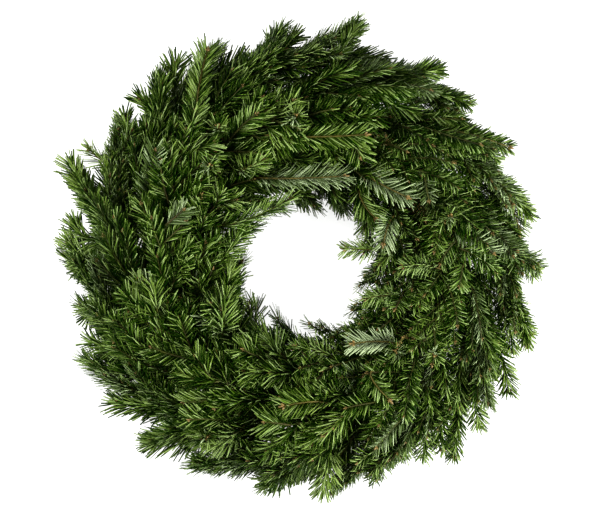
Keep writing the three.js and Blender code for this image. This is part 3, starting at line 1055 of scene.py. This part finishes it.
# %% Golden, standing and bare ones
GOLDEN = [  # (root, tip, tone) of those with a golden stem in the parting of their needles
    ((-34, 124, 112), (64, 130, 112), 0.28),
    ((-125, 130, 98), (-100, 220, 84), 0.42),
    ((44, 72, 96), (74, 44, 98), 0.44),
    ((32, -135, 112), (-22, -147, 112), 0.30),
    ((140, 148, 82), (216, 120, 64), 0.30),
    ((-74, -190, 74), (-118, -184, 66), 0.44),
    ((-70, 196, 74), (-20, 222, 66), 0.40),
    ((46, -100, 108), (88, -142, 104), 0.34),
]
STANDING = [  # (root, tip, tone), pointing at the viewer
    ((-97, 92, 98), (-96, 99, 120), 0.46),
    ((-92, 134, 98), (-87, 139, 120), 0.34),
    ((-14, 146, 98), (-8, 149, 121), 0.42),
    ((146, 44, 98), (149, 48, 120), 0.42),
    ((136, -90, 98), (132, -95, 120), 0.44),
    ((96, -90, 98), (93, -90, 119), 0.42),
    ((-104, -182, 72), (-100, -180, 92), 0.48),
]
TWIGS = [  # (root, tip) of the ones that have lost their needles
    ((57, -146, 110), (19, -178, 104)),
    ((107, -67, 110), (96, -84, 110)),
]
print(len(CHOSEN), "chosen,", len(FILLING), "filling,", len(GOLDEN), "golden,", len(STANDING), "standing")

# %% Tie them in
LEADER_PARTS = 16
CARRYING_PARTS = range(4, 14)  # of a leading shoot, the places that may carry a listed one
WRONG_WAY_COST = 40 * MM
RUNS_ALONG = 0.3  # cosine of the angle above which a leading shoot runs a listed one's way
CHOSEN_STEPS = 7
BARE_SHARE = 0.6  # of the way from a leading shoot to the root, left without needles


def carrying_sprig(root, tip):
    """The sprig whose leading shoot passes nearest behind a root, and the distance along it."""
    nearest = math.inf
    for sprig in SPRIGS:
        for i in CARRYING_PARTS:
            distance = sprig.leader.length * i / LEADER_PARTS
            place, forward, side, up = sprig.leader.at(distance)
            against = WRONG_WAY_COST * max(0, RUNS_ALONG - forward.dot((tip - root).normalized()))
            far = (place - root).length + against
            if far < nearest:
                nearest = far
                best = (sprig, distance)
    return best


def chosen_path(start, root, tip):
    """A smooth path that leaves a leading shoot and passes close by its root on the way to its tip."""
    points = []
    for i in range(CHOSEN_STEPS + 1):
        step = i / CHOSEN_STEPS
        points.append(start.lerp(root, step).lerp(root.lerp(tip, step), step))
    return Path(points, [Vector((0, 0, 1))] * len(points))


def in_frame(end):
    """A listed place, moved into the frame."""
    return Vector((*(Vector(end[:2]) * MM + RING_CENTRE), end[2] * MM))


roots_apart = []
shown = [(*line, FULL) for line in CHOSEN + FILLING]
shown += [(*line, 0, PARTED) for line in GOLDEN] + [(*line, 0, ROUND) for line in STANDING]
for root, tip, tone, roll, comb in shown:
    root, tip = in_frame(root), in_frame(tip)
    sprig, distance = carrying_sprig(root, tip)
    start = sprig.leader.at(distance)[0]
    apart = (root - start).length
    sprig.showing.append((chosen_path(start, root, tip), apart * BARE_SHARE, tone, roll, comb))
    roots_apart.append(apart)
for root, tip in TWIGS:
    root, tip = in_frame(root), in_frame(tip)
    sprig, distance = carrying_sprig(root, tip)
    sprig.twigs.append(chosen_path(sprig.leader.at(distance)[0], root, tip))
print("a listed root is", round(sum(roots_apart) / len(roots_apart) / MM), "mm from its leading shoot")

# %% Grow one sprig
SILVERY_NEEDLE = 19 * MM  # on the listed shoots that are rolled over
SILVERY_SPREAD = 0.78
SILVERY_ROLL = 90  # degrees, above which a listed shoot counts as rolled over
HIDDEN_SHARE = 0.45  # of a leading shoot, under the next rows
SIDE_PARTINGS = (0, 55)  # degrees from the top, from which the side shoots' needles start
SIDE_RIPENESS = (0, 0.15)
SIDE_TONES = (-0.09, 0.14)  # brighter than the sprig's own
LEADER_ROLL = 0.2  # radians, as is the next one
SIDE_ROLL = 0.35
LEADER_BARE = 12  # mm past the part under the wire
SIDE_BARE = 3 * MM
LEADER_THICK = 2.0 * MM  # radius at the foot, as is the next one
LISTED_THICK = 1.3 * MM


def grow_sprig(sprig):
    """One sprig as a bmesh: the leading shoot, its side shoots and the listed ones."""
    shape = bmesh.new()
    strand_layers(shape)
    rng, lane = sprig.rng, sprig.lane
    grown = grow_shoot(
        shape, sprig.leader, rng, sprig.needle, sprig.spread, sprig.tone, roll=rng.gauss(0, LEADER_ROLL),
        bare=(lane["stem"] + LEADER_BARE) * MM, thick=LEADER_THICK, hidden=HIDDEN_SHARE,
    )
    for share, path in side_paths(sprig):
        # painted shade: side shoots that leave early lie deep under the next rows and get a darker tone
        tone = sprig.tone + rng.uniform(*SIDE_TONES) + DEPTH_GAIN * (share - MIDDLE)
        roll = rng.gauss(0, SIDE_ROLL)
        if rng.random() < sprig.rolled_share:
            roll += math.pi
            tone -= ROLLED_SHADE
        hidden = float(share < HIDDEN_SHARE / 2)
        grown += grow_shoot(
            shape, path, rng, sprig.needle, sprig.spread, tone, roll=roll, bare=SIDE_BARE, hidden=hidden,
            comb=(rng.uniform(*SIDE_PARTINGS), COMB_LOWEST), ripe=rng.uniform(*SIDE_RIPENESS),
        )
    for path, bare, tone, roll, comb in sprig.showing:
        needle, spread = sprig.needle, sprig.spread
        if roll > SILVERY_ROLL:
            needle, spread = SILVERY_NEEDLE, SILVERY_SPREAD
        grown += grow_shoot(
            shape, path, rng, needle, spread, tone,
            roll=math.radians(roll), bare=bare, thick=LISTED_THICK, comb=comb, ripe=1.0,
        )
    for path in sprig.twigs:
        add_twig(shape, path, rng)
    return shape, grown


# %% Grow them all
def finish_piece(name, shape, finishes):
    """A bmesh made an object in the scene, with its materials."""
    mesh = bpy.data.meshes.new(name)
    shape.to_mesh(mesh)
    shape.free()
    for finish in finishes:
        mesh.materials.append(finish)
    piece = bpy.data.objects.new(name, mesh)
    bpy.context.collection.objects.link(piece)
    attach(piece, "root")
    return piece


needle_count = 0
for sprig in SPRIGS:
    shape, grown = grow_sprig(sprig)
    piece = finish_piece(f"fir_{sprig.node}", shape, FIR_FINISHES)
    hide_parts(sprig.node)
    needle_count += grown
print(needle_count, "needles")

# %% [markdown]
# ## The straw ring and the wire
#
# The ring is straw pressed into a half round with a flat back, and held by a pale thread. It shows from below
# and between the sprigs. A plain ring with a straw pattern would look painted, so a core, shrunk from the
# construction model's ring and darker than the stalks as painted shade for the gaps between them, is covered
# with single stalks laid along it. The wire presses a dent into every stalk that it crosses on the back. The
# thread crosses the back halfway between the wire's passes, so the two never run through each other.

# %% Lay the stalks
PACKED, STALKS, THREAD = range(3)
BACK_HALF = math.sqrt(CORE_RADIUS**2 - CORE_HEIGHT**2)
CORNER = math.asin(CORE_HEIGHT / CORE_RADIUS)  # of the section, below the level of the core line
OUTLINE = 2 * BACK_HALF + CORE_RADIUS * (math.pi + 2 * CORNER)
CORE_INSET = 1.6 * MM
CORNER_MERGE = 0.01 * MM
STALK_PITCH = 2.7 * MM
STALK_SIDES = 5
STALK_RADII = (1.0 * MM, 1.5 * MM)
STALK_LENGTHS = (60 * MM, 140 * MM)
STALK_STEPS = 6
DENT = math.radians(1.5)
DENT_DEPTH = 1.5 * MM
STALK_DRIFT = 3  # mm
FIRST_STARTS = math.tau / 8  # the arc in which each track's first stalk starts
STALK_DEPTHS = (0, 0.6)  # mm
STALK_TAPER = 0.8
STALK_OVERLAPS = (0, 6)  # mm
PASSES_REACHED = range(-1, 50)  # the last stalks run on past a full round of 33
PASSES = [math.radians(FIRST_TIE + TURN_PITCH * turn) for turn in PASSES_REACHED]
print("the section's outline is", round(OUTLINE / MM), "mm")


def skin_point(bearing, track, depth):
    """A point under the ring's skin. The track runs across the back, then up the outer flank and over."""
    if track % OUTLINE < 2 * BACK_HALF:
        out = RING_RADIUS + track % OUTLINE - BACK_HALF
        x, y = RING_CENTRE
        return Vector((x + out * math.sin(bearing), y + out * math.cos(bearing), depth))
    section = (track % OUTLINE - 2 * BACK_HALF) / CORE_RADIUS - CORNER
    point = ring_point(bearing, section, CORE_RADIUS - depth)
    point.z = max(point.z, depth)
    return point


def skin_path(places):
    """A path through places under the skin, each (bearing, track, depth)."""
    points = [skin_point(*place) for place in places]
    below = [skin_point(bearing, track, depth + MM) for bearing, track, depth in places]
    return Path(points, [(a - b).normalized() for a, b in zip(points, below)])


def stalk_path(rng, track, start, end, depth):
    """One stalk along the ring, dented on the back wherever the wire passes."""
    drift = rng.uniform(-STALK_DRIFT, STALK_DRIFT) * MM
    stops = {start + (end - start) * i / STALK_STEPS: 0.0 for i in range(STALK_STEPS + 1)}
    if track < 2 * BACK_HALF:
        stops = {start: 0.0, end: 0.0}
        for pressed in PASSES:
            for turn, press in ((-DENT, 0.0), (0.0, DENT_DEPTH), (DENT, 0.0)):
                if start < pressed + turn < end:
                    stops[pressed + turn] = press
    places = []
    for bearing in sorted(stops):
        share = (bearing - start) / (end - start)
        places.append((bearing, track + drift * share, depth + stops[bearing]))
    return skin_path(places)


def lay_stalks(straw):
    """Stalks end to end on tracks all round the section. Gives their number."""
    rng = random.Random("straw")
    tracks = round(OUTLINE / STALK_PITCH)
    laid = 0
    for i in range(tracks):
        start = rng.uniform(0, FIRST_STARTS)
        end = start + math.tau
        while start < end:
            reach = rng.uniform(*STALK_LENGTHS) / RING_RADIUS
            radius = rng.uniform(*STALK_RADII)
            depth = radius + rng.uniform(*STALK_DEPTHS) * MM
            path = stalk_path(rng, OUTLINE * i / tracks, start, start + reach, depth)
            add_rod(straw, path, radius, radius * STALK_TAPER, STALKS, STALK_SIDES, rng.random())
            start += reach - rng.uniform(*STALK_OVERLAPS) * MM / RING_RADIUS
            laid += 1
    return laid


# %% Wind the thread
THREAD_RADIUS = 0.3 * MM
THREAD_SIDES = 5
THREAD_STEPS = 16
THREAD_STOP = 0.999  # share of the way round, just short of the corner where the back begins


def wind_thread(straw):
    """The pale thread, wound once between every two passes of the wire."""
    places = []
    for turn in range(ROWS * TURNS_PER_ROW):
        crossing = math.radians(FIRST_TIE + TURN_PITCH * (turn + 0.5))
        places.append((crossing, 0.0, THREAD_RADIUS))
        for i in range(THREAD_STEPS + 1):
            share = i / THREAD_STEPS
            track = 2 * BACK_HALF + (OUTLINE - 2 * BACK_HALF) * share * THREAD_STOP
            places.append((crossing + math.radians(TURN_PITCH) * share, track, THREAD_RADIUS))
    add_rod(straw, skin_path(places), THREAD_RADIUS, THREAD_RADIUS, THREAD, THREAD_SIDES)


# %% Straw ring
straw = bmesh.new()
strand_layers(straw)
straw.from_mesh(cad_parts["straw_ring"].data)
bmesh.ops.remove_doubles(straw, verts=straw.verts, dist=CORNER_MERGE)
straw.normal_update()
for vert in straw.verts:
    vert.co -= vert.normal * CORE_INSET
for face in straw.faces:
    face.material_index = PACKED
print(lay_stalks(straw), "stalks")
wind_thread(straw)
straw_finishes = (make_packed_straw_finish(), make_straw_finish(), make_thread_finish())
piece = finish_piece("bound_straw_ring", straw, straw_finishes)
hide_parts("straw_ring")

# %% Binding wire
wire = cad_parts["binding_wire"]
wire.data.materials.clear()
wire.data.materials.append(make_wire_finish())
